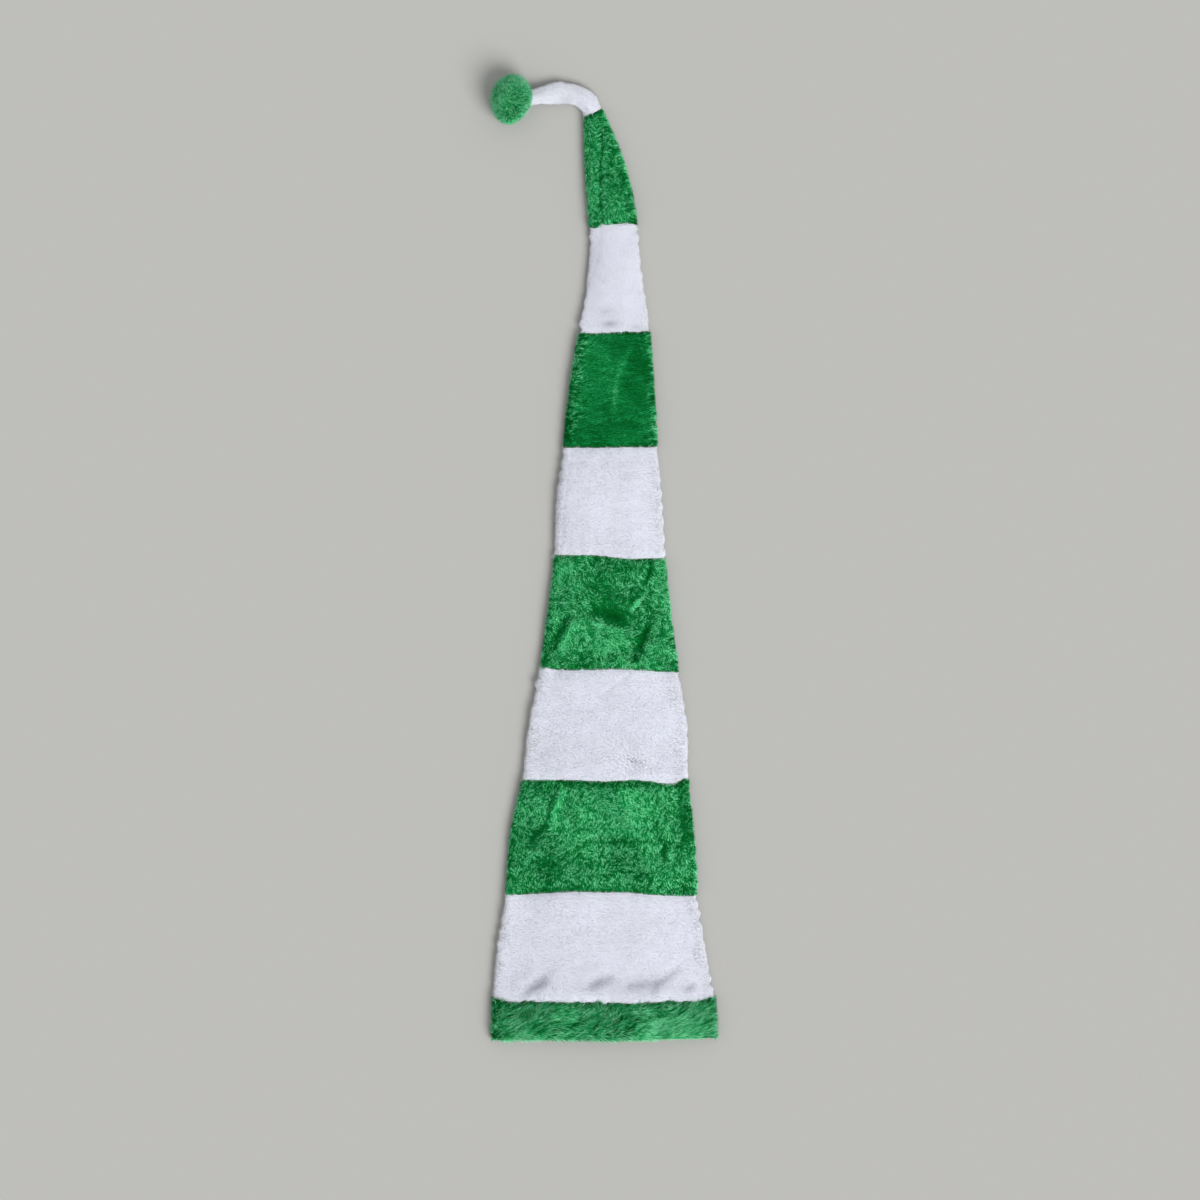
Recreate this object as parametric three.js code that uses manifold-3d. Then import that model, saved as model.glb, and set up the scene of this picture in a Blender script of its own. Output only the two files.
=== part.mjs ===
// A long striped plush hat with a bent tail and a pompom, lying flat as it is stored.
// Nine bands of plush are sewn end to end and closed into a tapering tube. The tube lies on its side, so each
// band is a flattened loop, hollow and open at the rim: a lower layer, an upper layer and two side folds.
// Frame: +X across the hat, +Y from the rim to the tip, +Z up from the surface that the hat lies on. The
// origin is the middle of the outline, on that surface. Lengths are in millimetres and angles in degrees.

import * as THREE from "three";
import { mergeVertices } from "three/addons/utils/BufferGeometryUtils.js";
import Module from "manifold-3d";

const wasm = await Module();
wasm.setup();

// Cloth and seams
const WALL = 3; // plush, backing and pile together
const GAP = 0.4; // left between neighbouring pieces
const EDGE_RADIUS = 6.5; // outside of the cloth where it folds over at the left and right edges
const CROWN_SHARE = 0.6; // share of the half width in which the upper layer rises from the side folds
const FADE_SHARE = 0.15; // share of the half width in which dents and seams fade out at the side folds
const SEAM_DIP = 2.2; // how far the upper layer sinks at a seam
const SEAM_ROLL = 7; // how far from the seam it has risen again

// Facets
const TOP_STEP = 17; // across the upper layer
const ROW_STEP = 16; // along the hat
const LEAST_TOP_STEPS = 6;
const EDGE_STEPS = 4; // round each side fold
const BOTTOM_STEPS = 3;

// Rows of values under named columns.
const table = (columns, rows) =>
  rows.map((row) => Object.fromEntries(columns.map((column, i) => [column, row[i]])));

// One row for each band, from the rim to the tip. x, wide, turn and high are at its lower end: the place of
// its middle across the hat, its flat width, how far it leans to the left and its height. tall is its length.
// left and right are how far each side stands out of the straight line between its two ends, at mid length.
const BANDS = table(
  ["name", "cloth", "tall", "x", "wide", "turn", "high", "left", "right"],
  [
    ["cuff", "green", 49, 0, 285.5, 0, 20, 0, 0],
    ["band_1_white", "white", 137, -0.5, 282, 0, 20, 3, 0.5],
    ["band_2_green", "green", 141.5, -3, 243, 0, 19.5, 5, 2.5],
    ["band_3_white", "white", 140, 2, 211.5, -1, 19, 3.5, 5],
    ["band_4_green", "green", 142.5, 7, 177.5, -1, 18.5, -1, -1.5],
    ["band_5_white", "white", 137.5, 7.5, 142, -2.5, 18, 3.5, 2.5],
    ["band_6_green", "green", 145, 8, 120.5, 0, 17.5, 2.5, 0.5],
    ["band_7_white", "white", 136.5, 13, 92, 1, 17, -3, -1.5],
    ["band_8_green", "green", 139.5, 12.5, 62, 6, 16, 2.5, 6],
  ],
);

// Dents and folds of the upper layer, with x and y from the middle of the rim. turn is the way that a fold
// runs, from +X towards +Y, long and wide are its half length and half width, and a ridge has deep below 0.
const FOLDS = table(
  ["x", "y", "turn", "long", "wide", "deep"],
  [
    [-86, 71, 36, 24, 13, 2.4],
    [-8, 74, 24, 22, 12, 2.4],
    [62, 80, 21, 38, 13, 2],
    [107, 66, 0, 14, 11, 1.6],
    [7, 540, -18, 26, 16, 3.5],
    [48, 570, 69, 36, 10, 3],
    [43, 500, 63, 28, 12, 4],
    [-56, 518, 63, 26, 12, 3.5],
    [-5, 503, -10, 34, 22, -2],
    [25, 848, 73, 36, 14, -2],
    [8, 903, 0, 14, 11, 2.4],
    [-12, 990, 77, 42, 10, 1.4],
    [-3, 1098, 90, 72, 9, 2.5],
  ],
);

// The tail goes round an arc to the left and then runs straight into the pompom.
const TAIL = {
  x: -13, // its middle at the last seam
  lean: 22, // its way at the last seam, to the left of +Y
  bend: 85, // how far it turns
  radius: 43, // of its middle line in the bend
  straight: 32, // after the bend, with its end inside the pompom's outline
  wide: { seam: 27, end: 24 },
  high: { seam: 15, end: 14 },
  lift: 7, // how far its end is held off the surface by the pompom
  lift_from: 0.5, // share of its length where it begins to rise
  solid: 16, // closed length at its end
  steps: 14,
};

const POMPOM = {
  x: -117,
  y: 1186,
  z: 22.5,
  half: { x: 25, y: 31.5, z: 24 },
  turn: -9,
  around: 20,
  rings: 14,
};

const PLUSH = {
  green: { color: 0x28874b, roughness: 0.95, metalness: 0 },
  white: { color: 0xdadce8, roughness: 0.95, metalness: 0 },
};

const { lerp, smoothstep, degToRad } = THREE.MathUtils;
const sum = (values) => values.reduce((total, value) => total + value, 0);
const HAT_LENGTH = sum(BANDS.map((band) => band.tall));

// How far the folds push the upper layer down at a place.
function foldDepth(x, y) {
  return sum(
    FOLDS.map((fold) => {
      const turn = degToRad(fold.turn);
      const along = (x - fold.x) * Math.cos(turn) + (y - fold.y) * Math.sin(turn);
      const across = (y - fold.y) * Math.cos(turn) - (x - fold.x) * Math.sin(turn);
      const reach = (along / fold.long) ** 2 + (across / fold.wide) ** 2;
      return reach < 1 ? fold.deep * (1 - reach) ** 2 : 0;
    }),
  );
}

// Height of the upper layer's outside, at a distance from the section's middle and at that place on the hat.
function upperHeight(section, across, place) {
  const flat = section.wide / 2 - EDGE_RADIUS;
  const inward = 1 - Math.min(1, Math.abs(across) / flat);
  const rise = smoothstep(inward, 0, CROWN_SHARE);
  const fade = smoothstep(inward, 0, FADE_SHARE);
  const edge = 2 * EDGE_RADIUS;
  const sunk = section.dip + foldDepth(place.x, place.y);
  return section.lift + edge + (section.high - edge) * rise - sunk * fade;
}

// One loop of the cloth: along the lower layer, up the right fold, back over the upper layer and down the
// left fold. inset is the depth inside the cloth, from 0 at its outside to WALL at its inside.
function loop(section, inset, topSteps) {
  const turn = degToRad(section.turn);
  const at = (across, z) =>
    new THREE.Vector3(section.x + across * Math.cos(turn), section.y + across * Math.sin(turn), z);
  const flat = section.wide / 2 - EDGE_RADIUS;
  const points = [];
  for (let i = 0; i < BOTTOM_STEPS; i++) {
    points.push(at(lerp(-flat, flat, i / BOTTOM_STEPS), section.lift + inset));
  }
  const fold = (side, i) => {
    const angle = Math.PI * (i / EDGE_STEPS - 0.5);
    const reach = EDGE_RADIUS - inset;
    const z = section.lift + EDGE_RADIUS + reach * Math.sin(angle);
    return at(side * (flat + reach * Math.cos(angle)), z);
  };
  for (let i = 0; i < EDGE_STEPS; i++) {
    points.push(fold(1, i));
  }
  for (let i = 0; i < topSteps; i++) {
    const across = lerp(flat, -flat, i / topSteps);
    const place = at(across, 0);
    points.push(at(across, upperHeight(section, across, place) - inset));
  }
  for (let i = EDGE_STEPS; i > 0; i--) {
    points.push(fold(-1, i));
  }
  return points;
}

// A closed wall through rows of outer and inner loops. An open one has a rim at both ends. A closed one has a
// rim at its first row only, and its outside and its hollow each end in a cap.
function wall(outer, inner, closed) {
  const count = outer[0].length;
  const points = [...outer.flat(), ...inner.flat()];
  const outerAt = (row, i) => row * count + (i % count);
  const innerAt = (row, i) => (outer.length + row) * count + (i % count);
  const faces = [];
  const quad = (a, b, c, d) => faces.push(a, b, c, a, c, d);
  const last = { outer: outer.length - 1, inner: inner.length - 1 };
  const cap = (at, row, centre, facesTip) => {
    const middle = points.push(centre) - 1;
    for (let i = 0; i < count; i++) {
      faces.push(middle, at(row, facesTip ? i + 1 : i), at(row, facesTip ? i : i + 1));
    }
  };
  for (let i = 0; i < count; i++) {
    for (let row = 0; row < last.outer; row++) {
      quad(outerAt(row, i), outerAt(row + 1, i), outerAt(row + 1, i + 1), outerAt(row, i + 1));
    }
    for (let row = 0; row < last.inner; row++) {
      quad(innerAt(row, i), innerAt(row, i + 1), innerAt(row + 1, i + 1), innerAt(row + 1, i));
    }
    quad(outerAt(0, i), outerAt(0, i + 1), innerAt(0, i + 1), innerAt(0, i));
    if (!closed) {
      const { outer: a, inner: b } = last;
      quad(outerAt(a, i), innerAt(b, i), innerAt(b, i + 1), outerAt(a, i + 1));
    }
  }
  if (closed) {
    const total = (ring) => ring.reduce((added, point) => added.add(point), new THREE.Vector3());
    const middle = (ring) => total(ring).divideScalar(count);
    cap(outerAt, last.outer, middle(outer[last.outer]), true);
    cap(innerAt, last.inner, middle(inner[last.inner]), false);
  }
  return new THREE.BufferGeometry().setFromPoints(points).setIndex(faces);
}

// The section of a band at a distance from its lower end.
function bandSection(index, distance) {
  const lower = BANDS[index];
  const tail = { x: TAIL.x, wide: TAIL.wide.seam, turn: TAIL.lean, high: TAIL.high.seam };
  const upper = BANDS[index + 1] ?? tail;
  const share = distance / lower.tall;
  const swell = Math.sin(Math.PI * share);
  const fromEnd = Math.min(distance, lower.tall - distance);
  return {
    x: lerp(lower.x, upper.x, share) + ((lower.right - lower.left) / 2) * swell,
    y: sum(BANDS.slice(0, index).map((band) => band.tall)) + distance,
    wide: lerp(lower.wide, upper.wide, share) + (lower.left + lower.right) * swell,
    turn: lerp(lower.turn, upper.turn, share),
    high: lerp(lower.high, upper.high, share),
    dip: SEAM_DIP * (1 - smoothstep(fromEnd, 0, SEAM_ROLL)),
    lift: 0,
  };
}

// A band's rows: its two ends, the end of the roll at each seam, and even steps between them.
function band(index) {
  const { tall, wide } = BANDS[index];
  const topSteps = Math.max(LEAST_TOP_STEPS, Math.round(wide / TOP_STEP));
  const steps = Math.round((tall - 2 * SEAM_ROLL) / ROW_STEP);
  const even = Array.from({ length: steps + 1 }, (_, i) => lerp(SEAM_ROLL, tall - SEAM_ROLL, i / steps));
  const start = index === 0 ? 0 : GAP / 2;
  const sections = [start, ...even, tall - GAP / 2].map((distance) => bandSection(index, distance));
  const loops = (inset) => sections.map((section) => loop(section, inset, topSteps));
  return wall(loops(0), loops(WALL), false);
}

// The section of the tail at a distance along its middle line.
function tailSection(distance) {
  const lean = degToRad(TAIL.lean);
  const bend = degToRad(TAIL.bend);
  const length = TAIL.radius * bend + TAIL.straight;
  const way = lean + Math.min(distance / TAIL.radius, bend);
  const run = Math.max(0, distance - TAIL.radius * bend);
  const share = distance / length;
  return {
    x: TAIL.x - TAIL.radius * (Math.cos(lean) - Math.cos(way)) - run * Math.sin(way),
    y: HAT_LENGTH + TAIL.radius * (Math.sin(way) - Math.sin(lean)) + run * Math.cos(way),
    wide: lerp(TAIL.wide.seam, TAIL.wide.end, share),
    turn: THREE.MathUtils.radToDeg(way),
    high: lerp(TAIL.high.seam, TAIL.high.end, share),
    dip: 0,
    lift: TAIL.lift * smoothstep(share, TAIL.lift_from, 1),
  };
}

// The tail reaches into the pompom's outline, which then cuts it off.
function tail() {
  const length = TAIL.radius * degToRad(TAIL.bend) + TAIL.straight;
  const rows = (end, inset) =>
    Array.from({ length: TAIL.steps + 1 }, (_, i) =>
      loop(tailSection(lerp(GAP / 2, end, i / TAIL.steps)), inset, LEAST_TOP_STEPS),
    );
  const tube = wall(rows(length, 0), rows(length - TAIL.solid, WALL), true);
  return geometryOf(solidOf(tube).subtract(solidOf(ball(GAP))));
}

// The outer form of the pompom, flattened where it rests. margin makes it larger all round.
function ball(margin) {
  const { x, y, z, half, turn, around, rings } = POMPOM;
  const made = new THREE.SphereGeometry(1, around, rings);
  made.rotateX(Math.PI / 2);
  made.scale(half.x + margin, half.y + margin, half.z + margin);
  made.rotateZ(degToRad(turn));
  made.translate(x, y, z);
  const places = made.getAttribute("position");
  for (let i = 0; i < places.count; i++) {
    places.setZ(i, Math.max(places.getZ(i), -margin));
  }
  return made;
}

function solidOf(geometry) {
  const bare = geometry.clone();
  bare.deleteAttribute("normal");
  bare.deleteAttribute("uv");
  const merged = mergeVertices(bare);
  const vertProperties = merged.getAttribute("position").array;
  const triVerts = new Uint32Array(merged.index.array);
  return new wasm.Manifold(new wasm.Mesh({ numProp: 3, vertProperties, triVerts }));
}

function geometryOf(solid) {
  const mesh = solid.getMesh();
  const made = new THREE.BufferGeometry();
  made.setAttribute("position", new THREE.BufferAttribute(mesh.vertProperties, mesh.numProp));
  made.setIndex(new THREE.BufferAttribute(mesh.triVerts, 1));
  return made;
}

function piece(name, geometry, cloth) {
  geometry.computeVertexNormals();
  const mesh = new THREE.Mesh(geometry, new THREE.MeshStandardMaterial(PLUSH[cloth]));
  mesh.name = name;
  return mesh;
}

const hat = new THREE.Group();
BANDS.forEach(({ name, cloth }, index) => hat.add(piece(name, band(index), cloth)));
hat.add(piece("tail", tail(), "white"));
hat.add(piece("pompom", ball(0), "green"));

// The middle of the outline goes to the origin.
const middle = new THREE.Box3().setFromObject(hat).getCenter(new THREE.Vector3());
hat.position.set(-middle.x, -middle.y, 0);

const part = new THREE.Group();
part.add(hat);

export default part;
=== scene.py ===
"""A long striped plush hat with a bent tail and a pompom, lying flat on a pale floor and seen from above.

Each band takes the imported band's own form, smoothed, with its seams, folds and dents pressed in, and
carries a pile of fibres on its outside. Lengths are in metres unless a name or a comment says millimetres,
angles are in degrees unless a comment says radians, and places on the hat are counted from the middle of
its rim.
"""

import math

import bmesh
import bpy
import numpy as np
from mathutils.bvhtree import BVHTree
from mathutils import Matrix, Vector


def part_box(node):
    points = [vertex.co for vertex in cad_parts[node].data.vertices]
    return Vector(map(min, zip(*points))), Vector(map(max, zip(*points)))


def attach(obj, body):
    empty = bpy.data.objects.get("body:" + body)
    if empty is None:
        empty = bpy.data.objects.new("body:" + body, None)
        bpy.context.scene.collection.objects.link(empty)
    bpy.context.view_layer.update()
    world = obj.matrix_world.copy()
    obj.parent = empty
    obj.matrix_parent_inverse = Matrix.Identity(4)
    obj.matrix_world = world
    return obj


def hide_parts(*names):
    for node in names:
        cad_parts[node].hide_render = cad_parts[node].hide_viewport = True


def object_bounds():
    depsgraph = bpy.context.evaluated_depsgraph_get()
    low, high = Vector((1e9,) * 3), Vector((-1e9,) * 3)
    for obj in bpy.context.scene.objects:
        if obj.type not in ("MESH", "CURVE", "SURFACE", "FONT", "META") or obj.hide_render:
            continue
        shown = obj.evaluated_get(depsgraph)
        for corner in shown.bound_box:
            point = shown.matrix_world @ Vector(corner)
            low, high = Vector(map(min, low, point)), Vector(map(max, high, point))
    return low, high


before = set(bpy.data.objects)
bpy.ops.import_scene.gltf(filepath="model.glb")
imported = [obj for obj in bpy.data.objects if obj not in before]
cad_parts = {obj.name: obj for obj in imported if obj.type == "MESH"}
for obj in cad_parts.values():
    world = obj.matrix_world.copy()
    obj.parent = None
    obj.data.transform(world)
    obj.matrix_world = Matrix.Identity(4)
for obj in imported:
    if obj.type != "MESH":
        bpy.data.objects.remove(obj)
cad_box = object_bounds()

MM = 0.001
TINY = 1e-12
GREEN = "green_plush"
WHITE = "white_plush"

BANDS = [
    "cuff",
    "band_1_white",
    "band_2_green",
    "band_3_white",
    "band_4_green",
    "band_5_white",
    "band_6_green",
    "band_7_white",
    "band_8_green",
]
RIM_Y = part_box("cuff")[0].y

# The photograph's frame, in its own pixels
PHOTO_SIDE_PX = 1200
HAT_LEFT_PX = 490.5
HAT_RIGHT_PX = 717
HAT_TOP_PX = 74.5
HAT_RIM_PX = 1041

# Camera, above the height where the hat's outline lies
CAMERA_DISTANCE = 5.0
OUTLINE_HEIGHT = 0.007

# Floor and light
FLOOR_REACH = 6
FLOOR_DROP = 0.0002
FLOOR_COLOUR = (0.43, 0.425, 0.405)
FLOOR_ROUGHNESS = 0.95
FLOOR_SHINE = 0.1
WORLD_COLOUR = (0.97, 0.98, 1.0)
WORLD_STRENGTH = 0.62
KEY_ENERGY = 2.7
KEY_SPREAD = 36
KEY_TURN = (32, 34, 0)

# Noise, clumps and strokes, and the middle of a range from 0 to 1
NOISE_WAVES = 9
NOISE_PACE = (0.6, 1.4)
NOISE_HEIGHT = 0.6
CLUMP_CELLS = 256
STROKE_STEPS = 5
STROKE_SPREAD = 0.29
MIDDLE = 0.5

# Smoothed forms. The angles of faces that join are in radians, and a hollow's other side is looked for
# this far off a face.
WELD = 2e-5
JOIN_FACE_ANGLE = 0.7
JOIN_SHAPE_ANGLE = 0.9
CLEAR = 0.0008
RIM_FACING = 0.9
UNDERSIDE = -0.3
BAND_HOLLOW = 0.3
TAIL_HOLLOW = 0.03
POMPOM_HOLLOW = 0.001
CLOTH_ROUNDING = 1
POMPOM_ROUNDING = 2
BAND_SPLITS = 2
TAIL_SPLITS = 1

# Layers of noise, each with its height, its size and its seed
LUMPS = ((0.0008, 0.062, 11), (0.0004, 0.027, 12), (0.0002, 0.011, 13))
PUCKERS = (0.0008, 0.011, 20)
SEAM_WANDER = (0.0014, 0.045, 40)
SEAM_FRAY = ((0.0011, 0.008, 60), (0.0009, 0.004, 70))
SCALLOPS = {GREEN: (0.0007, 0.009, 80), WHITE: (0.0013, 0.009, 80)}
SCALLOPS_VARY = (1.2, 0.04, 90)
FOLD_WANDER = (0.0012, 0.010, 5)
TAIL_KNOBS = (0.0008, 0.006, 95)
SPECKS = (0.9, 0.0018, 14)

# Cloth. At a seam the green edge lies lower than the white one and is tucked under it. One seam has a step.
PILE_DEPTH = 0.0012
INSET_HEIGHTS = (0.0005, 0.004)
LAYER_HEIGHTS = (0.005, 0.009)
RIM_TRIM = 0.0028
RIM_REACH = 0.012
LIP = {GREEN: -0.0006, WHITE: 0.0006}
LIP_REACH = 0.004
LIP_ROOM = (0.004, 0.020)
TUCK = {GREEN: 0.001, WHITE: 0}
SCALLOP_REACH = 0.008
PUCKER_REACH = 0.009
RIDGE_PLACE = 1.8
SEAM_REACH = 0.012
SEAM_RAGGED = [0, 1, 0.7, 0.35, 0.8, 0.35, 0.5, 1, 0.5, 1]
STEPPED_SEAM = BANDS.index("band_8_green")
STEP_X = -0.0045
STEP = 0.0045
STEP_BLEND = 0.001

# Pompom
POMPOM_CORE = 0.92
POMPOM_SHIFT = (0.001, -0.002, 0.0)
LOWER_RIGHT = np.array([0.72, -0.69, 0.0])
FLAT_FROM = 0.6
FLATTENED = 0.3

# Each plush colour from deep to light, the pale one of its wisps and margins, and the one along its seams
COLOURS = {
    GREEN: [(0.0, 0.12, 0.016), (0.016, 0.43, 0.125), (0.24, 0.88, 0.46)],
    WHITE: [(0.34, 0.34, 0.40), (0.55, 0.56, 0.625), (0.725, 0.74, 0.82)],
}
PALE = {GREEN: (0.3, 0.84, 0.5), WHITE: (0.84, 0.84, 0.79)}
SEAM_PALE = {GREEN: (0.26, 0.8, 0.45), WHITE: (0.7, 0.85, 0.76)}
SHADES = 12
PALE_SHADE = SHADES
SEAM_SHADE = SHADES + 1
FIBRE_ROUGHNESS = 0.5
SHINE = 0.04
# Painted shade in hollows and painted highlight on raised cloth: how far each metre of height moves the
# tone, within this range of heights
RELIEF_PAINTED_LIGHT = 90
RELIEF_RANGE = (-0.004, 0.002)

# The cloth between the fibres: how far its colour is below theirs, which is painted shade between the green
# fibres, how it varies, and its noise and bump
CLOTH_PAINTED_SHADE = {GREEN: 0.5, WHITE: 0.0}
CLOTH_MOTTLE = 0.1
CLOTH_PATCHES = 8
NAP_SCALE = 700
NAP_BUMP = 0.0005
BACK_SCALE = 1500
BACK_BUMP = 0.0003
TONE = "tone"

# Where fibres stand: on the outside, above a height, and where it faces up more than this
PILE_LOWEST = 0.001
PILE_STEEPEST = -0.6
ALL_OVER = -1
PILE_SEED = 1000
PILE_SEEDS_APART = 100
CLUMP_SEED = 1

# Shape of the fibres. Each is a closed spike with corners 0, 1 and 2 round its root and 3 as its tip.
# Lengths and widths vary between these shares, and wisps stand in patches.
SPIKE_SIDES = 3
SPIKE = np.array([[0, 2, 1], [0, 1, 3], [1, 2, 3], [2, 0, 3]])
ROOT_DEPTH = 0.0004
LOWEST_TIP = 0.0004
LENGTHS = (0.65, 1.15)
WIDTHS = (0.7, 1.3)
WISP_RANGE = (-0.6, 0.8)
WISP_LONGER = 1.6
WISP_THINNER = 0.7

# Margins of the pile, beside the side folds or on the sides of the tail and the pompom
MARGIN = 0.016
MARGIN_CORE = 0.4 * MARGIN
ROUND_SIDES = (0.1, 0.7)

# Layers of noise in the pile, each with its height, its size and its seed
MARGIN_WANDER = (MARGIN_CORE, 0.02, 6)
SWIRLS = ((1, 0.030, 2), (0.6, 0.010, 3))
WISP_PATCHES = (1, 0.012, 9)
STANDS_VARY = (12, 0.016, 4)
SEAM_TUFTS = (0.9, 0.005, 10)
STREAK_WANDER = (0.004, 0.03, 8)
TUFT_MOTTLE = (0.3, 0.006, 11)

# Streaks, mottle and tufts of the pile, and how the painted light and shade patches change them: painted
# shade presses the tufts, and painted light makes green fibres pale
STREAK_LONG = 8
STREAK_WIDE = 0.0026
STREAK_SEED = 7
MOTTLE_SIZE = 0.020
MOTTLE_SEED = 5
TUFT_TONE = 1.5
TUFT_TURN = 0.8
TUFTS_PRESSED = 2.5
PRESSED_MOST = 0.8
PALE_GAIN = 1.4
PALE_FROM = 0.26
PALE_MOST = 0.5
DITHER = 0.5

# Pile at the seams: how it is drawn over them, and how it is coloured there, with painted shade on the
# green beside each seam
DRAWN = 2
DRAWN_LONGER = 0.5
DRAWN_REACH = 0.004
WHITE_DRAWN = 1.2
RIM_CORNERS = (-0.002, 0.012)
RIM_PALE = 0.7
WHITE_SEAM_PALE = 0.8
PALE_REACH = 0.003
CROSSING = 0.18
CROSSING_REACH = 0.002
CROSSING_STANDS = 14
SEAM_PAINTED_SHADE = 0.55
SEAM_PAINTED_SHADE_REACH = 0.0026

# How the pile lies on each piece. way is where it is brushed to, from +X towards +Y, ruffled is how far it
# strays from that, loose is how far each fibre strays by itself, lean is how far it stands off the cloth
# and uneven how far that varies. per_m2 counts the fibres, wide is their width, finer makes them more and
# thinner, long is their length in millimetres, and twist, in radians, is how far they roll. tufts says how
# strongly it gathers in tufts clump millimetres wide, and gathered how far the tips follow. stroke is how
# long the strokes are along which the tufts' colour stays alike. streaks is how much it shows brushed
# lines, mottle how much it varies in patches, wisps the share of longer, paler fibres, faded the share of
# pale ones and grain how far one fibre's colour is from the next one's. shade moves the colour between
# deep and light. edge_tufts, edge_faded and edge_shade hold at the margins, where edge_lean and
# edge_longer are added.
GREEN_PILE = {
    "slot": GREEN,
    "per_m2": 1_000_000,
    "finer": 1,
    "wide": 0.0008,
    "twist": math.pi,
    "uneven": 7,
    "gathered": 0.75,
    "stroke": 0,
    "mottle": 0.09,
    "wisps": 0,
    "faded": 0,
    "edge_faded": 0,
    "edge_lean": 18,
    "edge_longer": 0,
}
WHITE_PILE = {
    "slot": WHITE,
    "per_m2": 560_000,
    "finer": 1,
    "wide": 0.0005,
    "twist": 0.25,
    "way": 178,
    "ruffled": 20,
    "loose": 12,
    "lean": 8,
    "uneven": 4,
    "long": 3.2,
    "clump": 3,
    "tufts": 0.02,
    "edge_tufts": 0.4,
    "gathered": 0.3,
    "stroke": 0,
    "streaks": 0.03,
    "mottle": 0.04,
    "wisps": 0,
    "faded": 0,
    "edge_faded": 0.5,
    "grain": 0,
    "edge_lean": 0,
    "edge_longer": 0.5,
}
PILES = {
    "cuff": dict(
        GREEN_PILE,
        finer=1.35, way=30, ruffled=36, loose=10, lean=16, long=6.5, clump=2.8, tufts=0.25, edge_tufts=0.4,
        stroke=0.006, streaks=0.38, wisps=0.14, faded=0.1, edge_faded=0.1, grain=0.06,
        shade=-0.05, edge_shade=0.0,
    ),
    "band_1_white": dict(WHITE_PILE, streaks=0.02, shade=0.3, edge_shade=0.3),
    "band_2_green": dict(
        GREEN_PILE,
        way=-115, ruffled=90, loose=16, lean=28, long=3.2, clump=1.5, tufts=0.8, edge_tufts=0.8,
        stroke=0.002, streaks=0.16, grain=0.22, shade=0.05, edge_shade=0.02,
    ),
    "band_3_white": dict(
        WHITE_PILE,
        ruffled=35, loose=14, lean=11, tufts=0.12, edge_tufts=0.45, shade=0.32, edge_shade=0.32,
    ),
    "band_4_green": dict(
        GREEN_PILE,
        way=-50, ruffled=120, loose=16, lean=28, long=3.3, clump=1.3, tufts=0.92, edge_tufts=0.92,
        stroke=0.005, streaks=0.1, grain=0.22, shade=0.05, edge_shade=0.09,
    ),
    "band_5_white": dict(WHITE_PILE, streaks=0.04, shade=0.28, edge_shade=0.22),
    "band_6_green": dict(
        GREEN_PILE,
        way=4, ruffled=18, loose=10, lean=14, long=4.6, clump=1.5, tufts=0.12, edge_tufts=0.7,
        stroke=0.006, streaks=0.09, grain=0.1, shade=-0.22, edge_shade=-0.1,
    ),
    "band_7_white": dict(WHITE_PILE, way=-88, tufts=0.03, shade=0.16, edge_shade=0.16),
    "band_8_green": dict(
        GREEN_PILE,
        way=-70, ruffled=140, loose=18, lean=30, long=3.8, clump=2, tufts=0.5, edge_tufts=0.5,
        stroke=0.0025, streaks=0.06, grain=0.16, shade=0.02, edge_shade=0.02,
    ),
    "tail": dict(
        WHITE_PILE,
        way=150, ruffled=50, loose=16, lean=10, tufts=0.06, faded=0.85, edge_faded=0.95,
        shade=0.3, edge_shade=0.36,
    ),
    "pompom": dict(
        GREEN_PILE,
        finer=1.35, way=60, ruffled=60, loose=100, lean=44, long=5.5, clump=3.4, tufts=0.24,
        edge_tufts=0.24, streaks=0, wisps=0.16, faded=0.1, edge_faded=0.25, grain=0.1,
        shade=0.02, edge_shade=0.04,
    ),
}


def table(columns, rows):
    return [dict(zip(columns, row, strict=True)) for row in rows]


# Creases and dents in the upper layer, in millimetres. depth is negative for a ridge, and ridge is the
# share of the depth raised along the left side, looking along the path.
FOLDS = table(
    ("path", "half_width", "depth", "ridge"),
    [
        (((-97, 63), (-78, 77)), 7, 2.2, 0.3),
        (((-18, 70), (4, 79)), 7, 2.0, 0.3),
        (((32, 71), (62, 74)), 6, 1.5, 0.0),
        (((60, 65), (92, 93)), 6, 1.4, 0.3),
        (((-54, 622), (-48, 690), (-43, 738)), 3, 0.4, 0.0),
        (((104, 64), (111, 71)), 4, 0.9, 0.0),
        (((-55, 318), (-63, 295), (-70, 276)), 4, -1.3, 0.0),
        (((-107, 217), (-83, 238)), 3, -1.2, 0.0),
        (((-87, 263), (-89, 251)), 8, 0.9, 0.0),
        (((76, 247), (75, 231)), 3, 1.8, 0.3),
        (((-12, 255), (62, 253)), 2.5, 0.6, 0.0),
        (((-3, 436), (33, 462)), 3, 0.4, 0.0),
        (((95, 289), (95, 258)), 4, -1.2, 0.0),
        (((-47, 730), (-30, 728)), 6, 0.8, 0.0),
        (((58, 605), (54, 576), (46, 558)), 4, 2.8, 0.0),
        (((57, 580), (34, 540)), 2.4, -1.8, 0.0),
        (((-14, 543), (10, 537), (34, 525)), 10, 3.4, 0.0),
        (((-22, 530), (4, 520), (32, 512)), 3.5, -1.7, 0.0),
        (((53, 520), (49, 502), (38, 485)), 5, 4.6, 0.0),
        (((-48, 533), (-69, 495)), 6, 2.8, 0.5),
        (((66, 541), (83, 541)), 2, 1.2, 0.5),
        (((20, 593), (46, 568)), 3, 1.3, 0.6),
        (((-34, 590), (-55, 556)), 5, 1.1, 0.4),
        (((-28, 486), (0, 482), (22, 488)), 4, 1.6, 0.3),
        (((29, 873), (20, 854), (14, 830), (9, 793)), 4, -0.8, 0.0),
        (((34, 898), (46, 898)), 4, 0.5, 0.0),
        (((-4, 1163), (-3, 1031)), 1.8, 1.4, 0.0),
        (((-3, 1024), (-9, 982), (-20, 955)), 3, 0.3, 0.0),
    ],
)
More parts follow.
